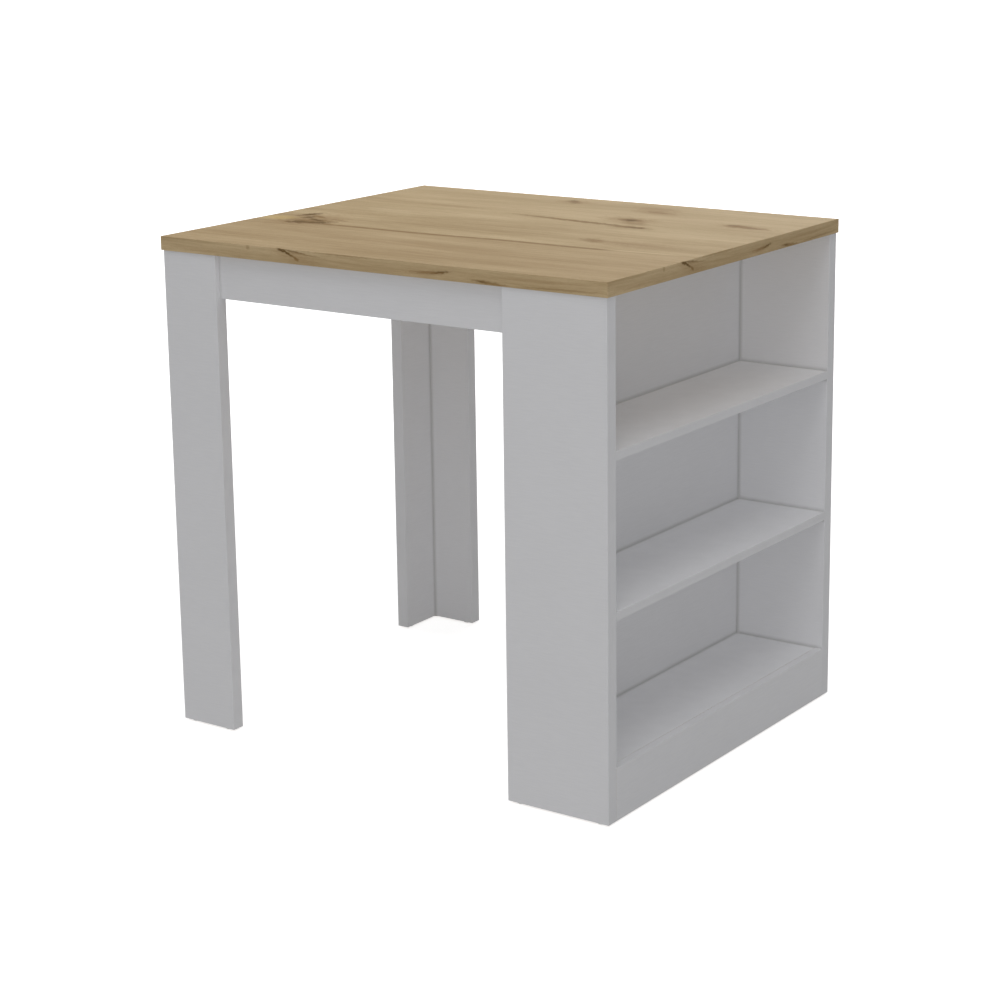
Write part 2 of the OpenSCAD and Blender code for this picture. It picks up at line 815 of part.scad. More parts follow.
// Fixings
module wooden_dowels() {
  color(beech) {
    at_apron_ends([0:5], apron_dowel_z) dowel();
    at_front_leg(leg_dowels_z) dowel();
    at_rear_leg(leg_dowels_z) dowel();
    at_back_ends(back_dowels_z) dowel();
    at_plinth_ends(plinth_dowel_z) dowel();
    at_upper_shelf_dowels() dowel();
    at_middle_shelf_dowels() dowel();
    at_bottom_shelf_dowels() dowel();
    at_top_dowels([0:9]) dowel();
  }
}
module cam_locks() {
  color(zinc) {
    at_apron_ends([0:5], apron_cam_z) cam(apron_t);
    at_back_ends(back_cams_z) cam(back_t);
    at_plinth_ends(plinth_cam_z) cam(plinth_t);
    at_upper_shelf_cams() cam(shelf_t);
    at_middle_shelf_cams() cam(shelf_t);
    at_bottom_shelf_cams() cam(shelf_t);
  }
}
module leg_cam_locks() {
  color(zinc)
    at_front_leg(leg_fixings_z)
      cam(upright_t);
}
module cam_bolts() {
  color(steel) {
    at_apron_ends([0:5], apron_cam_z) cam_bolt();
    at_front_leg(leg_fixings_z) cam_bolt();
    at_back_ends(back_cams_z) cam_bolt();
    at_plinth_ends(plinth_cam_z) cam_bolt();
    at_upper_shelf_cams() cam_bolt();
    at_middle_shelf_cams() cam_bolt();
    at_bottom_shelf_cams() cam_bolt();
  }
}
module cam_cover_caps() {
  color(cap_white) {
    at_front_leg(leg_fixings_z) cam_cap(upright_t);
    at_back_ends(back_cams_z) cam_cap(back_t);
    at_upper_shelf_cams() cam_cap(shelf_t);
    at_middle_shelf_cams() cam_cap(shelf_t);
    at_bottom_shelf_cams() cam_cap(shelf_t);
  }
}
module leg_screws() {
  color(steel)
    at_rear_leg(leg_fixings_z)
      confirmat(upright_t, leg_screw_l);
}
module shelf_screws() {
  color(steel)
    for (z = [upper_shelf_z, middle_shelf_z, bottom_shelf_z])
      at_shelf_screws(z)
        confirmat(back_t, shelf_screw_l);
}
module screw_cover_caps() {
  color(cap_white) {
    at_rear_leg(leg_fixings_z) confirmat_cap(upright_t);
    for (z = [upper_shelf_z, middle_shelf_z, bottom_shelf_z])
      at_shelf_screws(z)
        confirmat_cap(back_t);
  }
}
module angle_brackets() {
  color(zinc) {
    at_top_brackets([0:6]) bracket();
    at_plinth_brackets() bracket();
  }
}
module bracket_screws() {
  color(steel) {
    at_top_brackets([0:6]) bracket_screw_pair();
    at_plinth_brackets() bracket_screw_pair();
  }
}
module glides() {
  color(glide_grey)
    at_glides([0:9])
      glide();
}

tabletop();
tabletop_edge_bands();
front_leg_face_board();
front_leg_side_board();
rear_leg_back_board();
rear_leg_side_board();
leg_edge_bands();
front_apron();
rear_apron();
left_apron();
apron_edge_bands();
front_side_panel();
rear_side_panel();
side_panel_edge_bands();
back_panel();
upper_shelf();
middle_shelf();
bottom_shelf();
shelf_edge_bands();
plinth();
plinth_edge_band();
wooden_dowels();
cam_locks();
leg_cam_locks();
cam_bolts();
cam_cover_caps();
leg_screws();
shelf_screws();
screw_cover_caps();
angle_brackets();
bracket_screws();
glides();
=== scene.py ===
import math

import bpy
import numpy as np
from bpy.props import FloatProperty, FloatVectorProperty, IntProperty, PointerProperty
from mathutils import Matrix, Vector


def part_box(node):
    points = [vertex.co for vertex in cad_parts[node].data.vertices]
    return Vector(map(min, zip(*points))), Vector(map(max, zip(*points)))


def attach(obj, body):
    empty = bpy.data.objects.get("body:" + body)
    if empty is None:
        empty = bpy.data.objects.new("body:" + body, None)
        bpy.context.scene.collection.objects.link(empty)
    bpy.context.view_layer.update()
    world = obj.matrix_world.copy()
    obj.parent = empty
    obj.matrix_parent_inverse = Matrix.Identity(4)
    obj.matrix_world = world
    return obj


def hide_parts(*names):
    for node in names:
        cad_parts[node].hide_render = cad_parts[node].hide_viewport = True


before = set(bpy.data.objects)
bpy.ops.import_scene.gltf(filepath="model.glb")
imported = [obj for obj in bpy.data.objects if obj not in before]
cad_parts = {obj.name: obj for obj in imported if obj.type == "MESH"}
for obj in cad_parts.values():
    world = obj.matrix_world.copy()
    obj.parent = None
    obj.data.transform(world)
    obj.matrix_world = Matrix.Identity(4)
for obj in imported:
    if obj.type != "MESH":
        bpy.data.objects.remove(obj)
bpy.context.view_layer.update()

bl_info = {
    "name": "Kitchen Island",
    "version": (1, 0, 0),
    "blender": (4, 5, 0),
    "location": "3D View > Sidebar > Island",
    "description": "Oak-decor worktop, white boards and flat-pack fixings on the packed model",
    "category": "Object",
}

MM = 0.001
BODY = "root"

# The attribute that holds a point's place on its own piece, and how many millimetres it moves
# on from one copy to the next, so that no two copies carry the same pattern
OWN_PLACE = "own_place"
OWN_PLACE_STEP = 100

# Two faces of a new piece that meet at this angle or more, in degrees, show a sharp edge
SHARP_FROM = 35

# A board's decor is full at the first depth under its face and gone at the second, in mm
DECOR_DEPTHS = (0.12, 0.2)

# The round studio lamps all face the island's middle: distance and width in metres
LAMP_DISTANCE = 8.4
LAMP_WIDTH = 5.2
MIDDLE = Vector((0, 0, 0.45))

WHITE_BOARDS = (
    "front_leg_face_board", "front_leg_side_board", "rear_leg_back_board",
    "rear_leg_side_board", "front_apron", "rear_apron", "left_apron", "front_side_panel",
    "rear_side_panel", "back_panel", "upper_shelf", "middle_shelf", "bottom_shelf", "plinth",
)
WHITE_BANDS = (
    "leg_edge_bands", "apron_edge_bands", "side_panel_edge_bands", "shelf_edge_bands",
    "plinth_edge_band",
)


def srgb(red, green, blue):
    """Scene-linear colour of an sRGB colour given in steps of 0 to 255."""
    steps = np.array([red, green, blue]) / 255
    linear = np.where(steps <= 0.04045, steps / 12.92, ((steps + 0.055) / 1.055) ** 2.4)
    return tuple(float(c) for c in linear)


# Properties

def colour(name, description, default):
    """A property for a scene-linear colour."""
    return FloatVectorProperty(name=name, description=description, subtype="COLOR", size=3,
                               min=0, max=1, default=default)


def length(name, description, millimetres):
    """A property for a length, whose default is given in millimetres."""
    return FloatProperty(name=name, description=description, subtype="DISTANCE", unit="LENGTH",
                         min=0, precision=5, default=millimetres * MM)


def share(name, description, default):
    """A property for a share from 0 to 1."""
    return FloatProperty(name=name, description=description, subtype="FACTOR", min=0, max=1,
                         default=default)


def power(name, description, default):
    """A property for the power of a lamp in watts."""
    return FloatProperty(name=name, description=description, subtype="POWER", unit="POWER",
                         min=0, default=default)


# Shader expressions

class Value:
    """A shader socket that takes part in sums, so that an expression adds its Math nodes."""

    def __init__(self, tree, socket):
        self.tree = tree
        self.socket = socket

    def math(self, operation, *others):
        """A Math node whose inputs are this value and the others in turn."""
        return self.tree.node("ShaderNodeMath", {"operation": operation},
                              dict(enumerate((self, *others))))

    def __add__(self, other):
        return self.math("ADD", other)

    __radd__ = __add__

    def __sub__(self, other):
        return self.math("SUBTRACT", other)

    def __rsub__(self, other):
        return self.tree.node("ShaderNodeMath", {"operation": "SUBTRACT"}, {0: other, 1: self})

    def __mul__(self, other):
        return self.math("MULTIPLY", other)

    __rmul__ = __mul__

    def __truediv__(self, other):
        return self.math("DIVIDE", other)

    def __pow__(self, other):
        return self.math("POWER", other)

    def __abs__(self):
        return self.math("ABSOLUTE")

    def most(self, other):
        """The larger one of both values."""
        return self.math("MAXIMUM", other)

    def fade(self, start, end):
        """Runs smoothly from 0 at start to 1 at end, also where end is below start."""
        rise = self.tree.node(
            "ShaderNodeMapRange", {"interpolation_type": "SMOOTHSTEP"},
            {"Value": self, "From Min": min(start, end), "From Max": max(start, end)})
        return rise if start < end else 1 - rise


def opaque(value):
    """Gives a colour of three numbers its fourth, and leaves other values as they are."""
    if not isinstance(value, Value) and hasattr(value, "__len__") and len(value) == 3:
        return (*value, 1.0)
    return value


class Tree:
    """A node tree that ends in one shader."""

    def __init__(self, tree, shader):
        self.tree = tree
        self.shader = tree.nodes[shader]

    def node(self, kind, settings, inputs, output=0):
        """Adds a node: its settings first, then its inputs as numbers, colours or links."""
        made = self.tree.nodes.new(kind)
        for key, value in settings.items():
            setattr(made, key, value)
        for key, value in inputs.items():
            self.feed(made.inputs[key], value)
        return Value(self, made.outputs[output])

    def feed(self, socket, value):
        """Links a value to a socket, or sets the socket to a number or colour."""
        if isinstance(value, Value):
            self.tree.links.new(value.socket, socket)
        else:
            socket.default_value = value

    def set(self, socket, value):
        """Feeds one of the shader's own sockets."""
        self.feed(self.shader.inputs[socket], opaque(value))

    def seen(self):
        """1 for the camera's own view and for what gloss and glass show, else 0."""
        ways = [self.node("ShaderNodeLightPath", {}, {}, name)
                for name in ("Is Camera Ray", "Is Glossy Ray", "Is Transmission Ray")]
        return ways[0].most(ways[1]).most(ways[2])


class Finish(Tree):
    """The node tree of one material, with its place on the object in millimetres."""

    def __init__(self, name):
        self.material = bpy.data.materials.new(name)
        self.material.use_nodes = True
        super().__init__(self.material.node_tree, "Principled BSDF")
        self.place = self.node("ShaderNodeTexCoord", {}, {}, "Object")
        self.x, self.y, self.z = self.split(self.place)

    def split(self, vector):
        """The three parts of a vector in metres, as millimetres."""
        return [self.node("ShaderNodeSeparateXYZ", {}, {0: vector}, i) * 1000 for i in range(3)]

    def own_place(self):
        """The place on a new piece in millimetres: twice across it, then along its axis."""
        return self.split(self.node(
            "ShaderNodeAttribute", {"attribute_name": OWN_PLACE}, {}, "Vector"))

    def vector(self, x, y, z):
        """The vector of three values."""
        return self.node("ShaderNodeCombineXYZ", {}, {0: x, 1: y, 2: z})

    def noise(self, x, y, z, detail=2.0, roughness=0.5):
        """Noise of about 0.3 to 0.7 whose grains are one unit of x, y and z across."""
        return self.node("ShaderNodeTexNoise", {}, {
            "Vector": self.vector(x, y, z), "Scale": 1.0, "Detail": detail,
            "Roughness": roughness})

    def grains(self, size, detail=2.0, roughness=0.5):
        """Noise on the object that is alike in all directions, with grains of that size."""
        return self.noise(self.x / size, self.y / size, self.z / size, detail, roughness)

    def blend(self, factor, low, high, kind="MIX"):
        """Colour from low at factor 0 to high at factor 1."""
        # The numbers of a Mix node's sockets that it uses for colours
        factor_in, low_in, high_in, colour_out = 0, 6, 7, 2
        return self.node(
            "ShaderNodeMix", {"data_type": "RGBA", "blend_type": kind},
            {factor_in: factor, low_in: opaque(low), high_in: opaque(high)}, colour_out)

    def bump(self, height, depth):
        """Feeds the normal from a height of 0 to 1, where 1 stands depth millimetres proud."""
        self.set("Normal", self.node("ShaderNodeBump", {}, {
            "Distance": depth * MM, "Height": height}))

    def each(self, operation, first, second=(0, 0, 0), output=0):
        """A Vector Math node, which works on the three parts of its vectors."""
        return self.node("ShaderNodeVectorMath", {"operation": operation},
                         {0: first, 1: second}, output)

    def gap_to(self, low, high):
        """Millimetres from the place to the box between two corners, 0 inside it."""
        middle, half = (low + high) / 2, (high - low) / 2
        aside = self.each("ABSOLUTE", self.each("SUBTRACT", self.place, tuple(middle)))
        outside = self.each("MAXIMUM", self.each("SUBTRACT", aside, tuple(half)))
        return self.each("LENGTH", outside, output="Value") * 1000

    def spot(self, x, y, at, size, turn=0.0):
        """Distance from the middle of an ellipse, where 1 is its outline."""
        inside = self.node("ShaderNodeMapping", {"vector_type": "TEXTURE"}, {
            "Vector": self.vector(x, y, 0.0), "Location": (*at, 0.0),
            "Rotation": (0.0, 0.0, math.radians(turn)), "Scale": (*size, 1.0)})
        return self.each("LENGTH", inside, output="Value")


def dimmed(tint, part):
    """A colour at a part of its brightness."""
    return tuple(part * c for c in tint)


def dress(finish, *nodes):
    """Gives CAD nodes the finish on each of their material slots."""
    for name in nodes:
        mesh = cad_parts[name].data
        if not mesh.materials:
            mesh.materials.append(finish.material)
        for i in range(len(mesh.materials)):
            mesh.materials[i] = finish.material


# Places of the fixings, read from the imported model

def solids(node):
    """The corner points of each separate solid of a CAD node, in millimetres.

    Corners at the same place count as one, and each takes the lowest number that any
    corner of its triangles has, until no number changes.
    """
    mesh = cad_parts[node].data
    points = np.empty(len(mesh.vertices) * 3)
    mesh.vertices.foreach_get("co", points)
    points = points.reshape(-1, 3) / MM
    corners = np.empty(len(mesh.loops), np.int32)
    mesh.loops.foreach_get("vertex_index", corners)
    welded = np.unique(points.round(3), axis=0, return_inverse=True)[1].ravel()
    triangles = welded[corners.reshape(-1, 3)]
    number = np.arange(welded.max() + 1)
    before = None
    while not np.array_equal(number, before):
        before = number.copy()
        lowest = np.repeat(number[triangles].min(1), 3)
        np.minimum.at(number, triangles.ravel(), lowest)
        number = number[number]
    return [points[number[welded] == n] for n in np.unique(number[welded])]


def wide_ends(node):
    """The middle of the wider end of each turned solid of a node, and the solid's axes.

    The axes are rows. The first points out of that end, along the solid, and the three are
    right-handed.
    """
    at_end = 0.01
    middles, axes = [], []
    for points in solids(node):
        low, high = points.min(0), points.max(0)
        size = high - low
        along = int(np.argmax(abs(size - np.median(size))))
        middle = (low + high) / 2
        reach = [np.delete(abs(points[abs(points[:, along] - end[along]) < at_end] - middle),
                           along, 1).max() for end in (low, high)]
        sign = 1 if reach[1] >= reach[0] else -1
        middle[along] = high[along] if sign > 0 else low[along]
        unit = np.eye(3)
        middles.append(middle)
        axes.append([sign * unit[along], unit[(along + 1) % 3], sign * unit[(along + 2) % 3]])
    return np.array(middles), np.array(axes)


# New pieces

def add_piece(name, shape, faces, places, axes, node, finish):
    """Puts copies of a shape in the place of a CAD node.

    The shape's points are in millimetres in its own frame. Each copy's axes, as rows, turn
    them, and its place moves them.
    """
    points = places[:, None] + np.einsum("pi,cij->cpj", shape, axes)
    copy = np.arange(len(places))[:, None, None]
    own = shape[:, [1, 2, 0]] + OWN_PLACE_STEP * copy
    polygons = [face for part in faces
                for face in (part + len(shape) * copy).reshape(-1, part.shape[1]).tolist()]
    mesh = bpy.data.meshes.new(name)
    mesh.from_pydata((points * MM).reshape(-1, 3).tolist(), [], polygons)
    attribute = mesh.attributes.new(OWN_PLACE, "FLOAT_VECTOR", "POINT")
    attribute.data.foreach_set("vector", (own * MM).ravel())
    mesh.shade_smooth()
    mesh.set_sharp_from_angle(angle=math.radians(SHARP_FROM))
    mesh.materials.append(finish)
    piece = bpy.data.objects.new(name, mesh)
    bpy.context.scene.collection.objects.link(piece)
    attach(piece, BODY)
    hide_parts(node)
    return piece


def turn_pieces(name, radius, height, node, finish):
    """Puts a closed turned shape at the wide end of each of a node's solids.

    Ring i and angle j give the point that lies radius[i, j] from the axis and height[i, j]
    out of the wide end. The first ring and the last one shrink to a pole each.
    """
    count, around = radius.shape
    angle = np.linspace(0, 2 * np.pi, around, endpoint=False)
    ring = np.stack([height, radius * np.cos(angle), radius * np.sin(angle)], -1)
    shape = np.concatenate([ring[:1].mean(1), ring[1:-1].reshape(-1, 3), ring[-1:].mean(1)])
    here = np.arange(around)
    beside = (here + 1) % around
    row = 1 + around * np.arange(count - 3)[:, None]
    last = 1 + around * (count - 2)
    quads = np.stack([row + here, row + beside, row + around + beside, row + around + here],
                     -1).reshape(-1, 4)
    fans = np.concatenate([
        np.stack([0 * here, 1 + beside, 1 + here], -1),
        np.stack([0 * here + last, last - around + here, last - around + beside], -1)])
    places, axes = wide_ends(node)
    add_piece(name, shape, [quads, fans], places, axes, node, finish)


def outline(*stations):
    """Radius and height of a plain turned outline, one row for each ring."""
    table = np.array(stations, float)
    return table[:, :1], table[:, 1:]


def thread(crest, root, pitch, start, end, run_out, around, steps=8):
    """Radius and height of a thread from height start up to height end.

    The radius falls from crest to root and back once for each pitch. Its phase also turns
    with the angle, which winds the groove into a helix, and it fades out at both ends. The
    groove is a sine raised to a power, which widens the crest, and cut off at the root.
    """
    gain, widen = 1.35, 1.5
    height = np.linspace(start, end, int((end - start) / pitch * steps) + 1)[:, None]
    turn = np.linspace(0, 1, around, endpoint=False)[None]
    groove = np.clip(gain * np.sin(np.pi * ((height / pitch - turn) % 1)) ** widen, 0, 1)
    fade = np.clip(np.minimum(height - start, end - height) / run_out, 0, 1)
    return crest - (crest - root) * groove * fade, height + 0 * turn


def hexagon(across, around, height):
    """Radius of a hexagon of that width across its flats for each angle, at one height."""
    angle = np.linspace(0, 2 * np.pi, around, endpoint=False)[None]
    radius = across / 2 / np.cos((angle + np.pi / 6) % (np.pi / 3) - np.pi / 6)
    return radius, height + 0 * angle


def stack(around, *parts):
    """Joins outlines one above the other, each spread over the same number of angles."""
    spread = [[np.broadcast_to(array, (len(array), around)) for array in part]
              for part in parts]
    return [np.concatenate(arrays) for arrays in zip(*spread)]


class OakSettings(bpy.types.PropertyGroup):
    light: colour("Light wood", "Colour of the palest streaks", srgb(203, 181, 144))
    dark: colour("Dark wood", "Colour of the darkest streaks", srgb(167, 143, 106))
    knot: colour("Knots", "Colour of the knots", srgb(102, 79, 45))
    streak: colour("Dark streaks", "Colour of the dark streaks and the plank joint",
                   srgb(134, 106, 67))
    red: colour("Heartwood", "Colour round the small knots", srgb(152, 122, 85))
    sap: colour("Sapwood", "Colour of the yellow patch by the large knot", srgb(204, 178, 122))
    gloss: share("Gloss", "Specular level of the decor", 0.03)
    roughness: share("Roughness", "Roughness of the decor between its pores", 0.65)


class BoardSettings(bpy.types.PropertyGroup):
    white: colour("White", "Colour of the melamine faces", srgb(219, 219, 221))
    band: colour("Edge band", "Colour of the white edge bands", srgb(215, 215, 217))
    core: colour("Chipboard", "Colour of the bare chipboard", srgb(184, 152, 110))
    # Painted shade: the joint colour darkens each board's inner corners where another board
    # stands on it, out to the width below, and also draws the hairline of flush joints
    joint: colour("Corner shade", "Colour of the inner corner where two boards meet",
                  srgb(194, 194, 194))
    corner_shade_w: length("Corner shade width", "How far the shade fades out from a corner", 8)
    gloss: share("Gloss", "Specular level of the melamine", 0.08)
    roughness: share("Roughness", "Roughness of the melamine faces", 0.55)


class FixingSettings(bpy.types.PropertyGroup):
    dowel_flutes: IntProperty(name="Dowel flutes", description="Grooves round a dowel",
                              min=8, max=32, default=24)
    flute_depth: length("Flute depth", "Depth of a dowel's grooves", 0.3)
    dowel_chamfer: length("Dowel chamfer", "Chamfer at both ends of a dowel", 1.2)
    bolt_pitch: length("Bolt pitch", "Pitch of a cam bolt's thread", 1.8)
    screw_pitch: length("Screw pitch", "Pitch of a board screw's thread", 3.0)
    bracket_bend: length("Bracket bend", "Outer radius of a bracket's bend", 3.2)
    bracket_corner: length("Bracket corner", "Radius of a bracket's end corners", 3.0)
    cap_dome: length("Cap dome", "Rise of a cover cap's face", 0.3)
    beech: colour("Beech", "Colour of the dowels", srgb(214, 184, 138))
    steel: colour("Plated steel", "Colour of bolts, screws and brackets", srgb(172, 175, 181))
    zinc: colour("Die-cast zinc", "Colour of the cams", srgb(178, 181, 186))
    cap: colour("Cap plastic", "Colour of the cover caps", srgb(228, 228, 228))
    glide: colour("Glide plastic", "Colour of the glides", srgb(209, 209, 204))


class StudioSettings(bpy.types.PropertyGroup):
    sky: FloatProperty(name="Sky", description="Strength of the even light from all sides",
                       min=0, default=0.222)
    left_power: power("Left light", "Power of the light beyond the legs", 200)
    rear_power: power("Rear light", "Power of the light behind the island", 200)
    front_power: power("Front light", "Power of the low light in front of the island", 44)
    top_power: power("Top light", "Power of the high light in front of the island", 171)
    level_fill: power("Level fill", "Power of the level light that casts no shadow", 141)
    top_fill: power("Top fill", "Power of the light from above that casts no shadow", 110)
    floor: colour("Floor", "Colour of the floor", (0.62, 0.62, 0.62))
    floor_glow: share("Floor glow", "How white the floor looks in its shadows", 0.72)


def chipboard(finish, core):
    """Pressed wood chips: tan flakes, paler and darker ones among them."""
    darker, paler = srgb(128, 96, 62), srgb(214, 190, 150)
    flake = finish.grains(2.2, 4.0, 0.7)
    chips = finish.blend(flake.fade(0.34, 0.5), darker, tuple(core))
    return finish.blend(flake.fade(0.52, 0.7), chips, paler)


def bare_core(finish, node):
    """1 on a board's ends and in its holes, and 0 on its two faces: how far the place lies
    from the middle of the board's thickness tells which."""
    low, high = (np.array(corner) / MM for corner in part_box(node))
    thin = int(np.argmin(high - low))
    from_middle = abs((finish.x, finish.y, finish.z)[thin] - (low[thin] + high[thin]) / 2)
    half = (high[thin] - low[thin]) / 2
    return from_middle.fade(*(half - depth for depth in DECOR_DEPTHS))


def oak_grain(finish, along, across, seed, swirls, look):
    """Printed oak: lanes of streaks that drift and part round the knots, with pores.

    Each swirl is the middle of a knot, its radii and how far it pushes the lanes apart.
    Gives the colour, and sets the roughness and the relief.
    """
    def streaks(run, width, shift, detail, roughness=0.5):
        """Noise drawn out along the lanes, to a length and a width in millimetres."""
        return finish.noise(along / run, lane / width, seed + shift, detail, roughness)

    lane = across
    for at, size, push in swirls:
        near = (finish.spot(along, across, at, size) ** 2 * -1).math("EXPONENT")
        lane = lane - (across - at[1]) * near * push
    lane = lane + finish.noise(along / 260, across / 80, seed, 1.0) * 26
    wide = streaks(420, 60, 1.3, 1.0)
    middle = streaks(130, 7, 4.7, 3.0)
    fine = streaks(34, 1.4, 8.1, 3.0, 0.6)
    pore = streaks(8, 0.45, 2.2, 1.0).fade(0.6, 0.74)
    pore_colour = srgb(120, 98, 72)
    tone = wide * 0.4 + middle * 0.3 + fine * 0.3
    wood = finish.blend(tone.fade(0.3, 0.7), tuple(look.dark), tuple(look.light))
    wood = finish.blend(pore * 0.35, wood, pore_colour)
    finish.set("Roughness", fine * 0.1 + pore * 0.12 + (look.roughness - 0.05))
    finish.bump(fine * 0.5 - pore, 0.05)
    return wood


def marks_on(finish, wood, along, across, marks, ragged):
    """Lays soft-edged ellipses on the wood, whose outlines noise along the grain frays.

    Each has a place, radii, a turn in degrees, a strength and a colour. Ragged is how long
    and how wide the frays are, in millimetres.
    """
    run, width = ragged
    fray = (finish.noise(along / run, across / width, 6.0, 3.0, 0.6) - 0.5) * 2.2
    for at, size, turn, strength, tint in marks:
        inside = (finish.spot(along, across, at, size, turn) + fray).fade(1.35, 0.35)
        wood = finish.blend(inside * strength, wood, tuple(tint))
    return wood


class ISLAND_OT_dress_tabletop(bpy.types.Operator):
    """Gives the tabletop its oak decor with a plank joint and knots"""
    bl_idname = "island.dress_tabletop"
    bl_label = "Dress the tabletop"

    def execute(self, context):
        look = context.scene.island_oak
        finish = Finish("oak_decor_face")
        x, y = finish.x, finish.y
        # The joint of the two planks is a gentle wave about a line that rises towards the
        # right. The front plank takes its grain from another part of the noise.
        joint_y, rise, wave_l, wave_h, plank_shift = -128, 0.021, 57, 2.6, 31.0
        joint = y - (x / wave_l).math("SINE") * wave_h - x * rise - joint_y
        front_plank = joint.fade(0.6, -0.6)
        swirls = (((-372, -92), (64, 58), -0.6), ((156, 182), (74, 40), -0.55),
                  ((-67, 335), (46, 26), -0.5), ((136, 300), (76, 34), -0.35),
                  ((236, -46), (74, 34), -0.45), ((372, 211), (66, 24), -0.4))
        wood = oak_grain(finish, x, y, front_plank * plank_shift, swirls, look)
        # The rear plank pales towards the rear and the right, and the front one is browner
        rear_pale, front_brown = srgb(206, 185, 149), srgb(162, 134, 100)
        rear_light = (y / 900 + x / 4000 + 0.06) * (1 - front_plank)
        wood = finish.blend(rear_light.most(0) * 0.6, wood, rear_pale)
        wood = finish.blend(front_plank * 0.2, wood, front_brown)
        k, d, r, s, light = look.knot, look.streak, look.red, look.sap, srgb(208, 188, 151)
        marks = (
            ((-295, 62), (84, 36), -24, 0.3, light), ((-112, 98), (70, 11), 2, 0.35, light),
            ((360, 90), (120, 30), -3, 0.3, light), ((-430, -104), (36, 24), 4, 0.85, s),
            ((-366, -88), (70, 62), 10, 0.42, r), ((-352, -116), (52, 32), 10, 0.75, d),
            ((-404, -48), (13, 25), -24, 0.9, k), ((-384, -78), (12, 14), 10, 0.8, k),
            ((-372, -62), (26, 7), -28, 0.75, d), ((-366, -132), (24, 15), 8, 0.9, k),
            ((-326, -122), (26, 11), 12, 0.85, k), ((-350, -98), (26, 8), -26, 0.8, k),
            ((-322, -100), (26, 4), -18, 0.6, d), ((-310, -80), (24, 3), -12, 0.45, d),
            ((152, 186), (62, 30), -8, 0.5, r), ((152, 186), (28, 17), -10, 0.8, d),
            ((152, 184), (15, 9), -10, 0.8, k), ((178, 152), (32, 18), -20, 0.42, d),
            ((40, 134), (124, 8), -6, 0.7, d), ((120, 122), (96, 9), -4, 0.65, d),
            ((196, 112), (46, 13), -2, 0.75, d), ((206, 112), (20, 6), -2, 0.5, k),
            ((-75, 342), (12, 10), 4, 0.8, k), ((-60, 326), (12, 9), 0, 0.75, k),
            ((-66, 334), (42, 22), 0, 0.4, r), ((126, 322), (52, 26), -10, 0.42, r),
            ((146, 286), (56, 18), -6, 0.5, r), ((150, 290), (26, 8), -8, 0.4, d),
            ((354, 216), (26, 15), 4, 0.75, d), ((384, 208), (40, 11), -5, 0.8, d),
            ((346, 220), (12, 7), 0, 0.6, k), ((372, 213), (64, 22), -4, 0.35, r),
            ((222, -48), (30, 17), -24, 0.62, d), ((300, -52), (92, 32), -3, 0.3, r),
            ((-240, 172), (74, 11), 3, 0.22, r), ((20, -240), (190, 15), 1, 0.16, r),
            ((300, -300), (150, 12), -1, 0.16, r),
        )
        wood = marks_on(finish, wood, x, y, marks, (15, 5))
        # Growth rings on the rear plank: parabolas whose tips point to the left
        tip_x, tip_y, bow, ring_w, ring_colour = 262, -52, 16, 9, srgb(150, 122, 90)
        aside = y - tip_y
        arch = (x - tip_x) - aside * aside / bow
        arches = (finish.noise(arch / ring_w, 0.0, 3.0, 2.0).fade(0.42, 0.62)
                  * finish.spot(x, y, (345, -58), (110, 34)).fade(1.1, 0.4))
        wood = finish.blend(arches * 0.28, wood, ring_colour)
        # The joint's dark line is broken in places, and towards the right it turns pale
        broken = finish.noise(x / 26, 0.0, 9.0, 2.0).fade(0.3, 0.52)
        span = x.fade(-345, -290) * x.fade(330, 270)
        line = abs(joint).fade(11.0, 0.0) * (span * (broken * 0.4 + 0.6) * 0.75 + 0.15)
        wood = finish.blend(line, wood, tuple(look.streak))
        pale = abs(joint - 5).fade(7.0, 0.5) * x.fade(285, 325) * x.fade(450, 400)
        line_pale = srgb(216, 195, 157)
        wood = finish.blend(pale * 0.6, wood, line_pale)
        finish.set("Base Color", finish.blend(
            bare_core(finish, "tabletop"), wood,
            chipboard(finish, context.scene.island_boards.core)))
        finish.set("Specular IOR Level", look.gloss)
        dress(finish, "tabletop")
        return {"FINISHED"}


